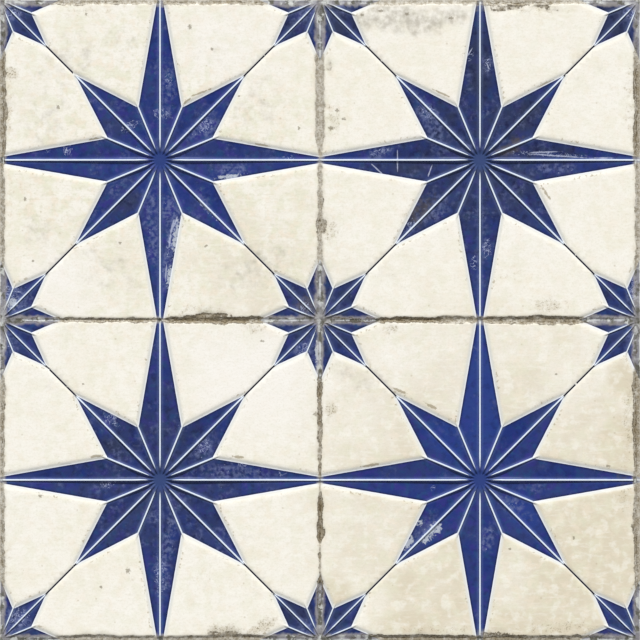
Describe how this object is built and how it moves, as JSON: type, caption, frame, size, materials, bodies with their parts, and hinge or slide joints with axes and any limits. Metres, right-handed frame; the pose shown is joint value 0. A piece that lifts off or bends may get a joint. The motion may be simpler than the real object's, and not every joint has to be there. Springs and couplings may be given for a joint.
{
  "type": "floor tile",
  "caption": "Square pressed and glazed floor tile with eight-pointed stars of sunken blue facets on a cream ground, panels parted by false joints, and a keyed back for bedding.",
  "frame": {"origin": "centre of the back of the tile, on the plane of its ribs", "axes": "+Z out of the glazed face, +X and +Y along the tile's sides; +Y is up in the picture"},
  "size_m": [0.45, 0.45, 0.01],
  "materials": {
    "glazed_body": "worn satin glaze"
  },
  "bodies": {
    "root": {"floor_tile": "glazed_body"}
  },
  "joints": []
}
